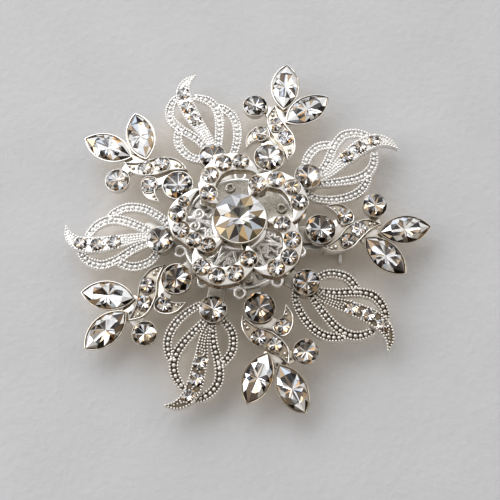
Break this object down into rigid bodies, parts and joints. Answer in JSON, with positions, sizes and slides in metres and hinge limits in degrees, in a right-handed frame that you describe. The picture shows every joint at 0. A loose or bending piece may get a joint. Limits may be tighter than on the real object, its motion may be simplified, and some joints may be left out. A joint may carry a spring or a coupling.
{
  "type": "decorative hair pin",
  "caption": "Crystal-set burst hair pin: cast leaf and flower sprays on a round back plate, raised pinwheel centre, hinged pin stem with roll-over catch.",
  "frame": {"origin": "where the five-fold axis of the front crosses the centre line of the closed pin stem", "axes": "+Z out of the decorated face, +X to the right and +Y up as the front is seen with one flower spray pointing up; the pin stem points along X turned 4 degrees towards -Y"},
  "size_m": [0.0741, 0.0749, 0.0167],
  "materials": {
    "milgrain_metal": "bright silver plate over a beaded casting",
    "polished_metal": "polished silver plate",
    "filigree_metal": "silver plate, slightly dulled in the recesses",
    "back_metal": "plain satin silver plate",
    "pin_steel": "drawn steel wire",
    "crystal": "clear cut crystal with a foil back"
  },
  "bodies": {
    "burst": {"leaf_spray_1": "milgrain_metal", "leaf_spray_2": "milgrain_metal", "leaf_spray_3": "milgrain_metal", "leaf_spray_4": "milgrain_metal", "leaf_spray_5": "milgrain_metal", "flower_spray_1": "polished_metal", "flower_spray_2": "polished_metal", "flower_spray_3": "polished_metal", "flower_spray_4": "polished_metal", "flower_spray_5": "polished_metal", "pinwheel_tier": "polished_metal", "centre_cup": "polished_metal", "filigree_plate": "filigree_metal", "back_plate": "back_metal", "centre_post": "back_metal", "centre_rivet": "back_metal", "spray_rivets": "back_metal", "pin_bar": "back_metal", "bar_rivets": "back_metal", "hinge_bracket": "back_metal", "hinge_rivet": "pin_steel", "catch_housing": "back_metal", "leaf_base_stones": "crystal", "plume_stones": "crystal", "plume_tip_stones": "crystal", "flower_large_stones": "crystal", "flower_small_stones": "crystal", "flower_pave_stones": "crystal", "navette_stones": "crystal", "pinwheel_stones": "crystal", "centre_stone": "crystal"},
    "pin": {"pin_stem": "pin_steel"},
    "latch": {"catch_latch": "back_metal"}
  },
  "joints": [
    {"name": "pin_hinge", "type": "hinge", "parent": "burst", "child": "pin", "pos_m": [-0.01756, 0.00123, 0], "axis": [0.0698, 0.9976, 0], "range_deg": [0, 95]},
    {"name": "catch_turn", "type": "hinge", "parent": "burst", "child": "latch", "pos_m": [0.01845, -0.00129, 0], "axis": [0.9976, -0.0698, 0], "range_deg": [-115, 0]}
  ]
}
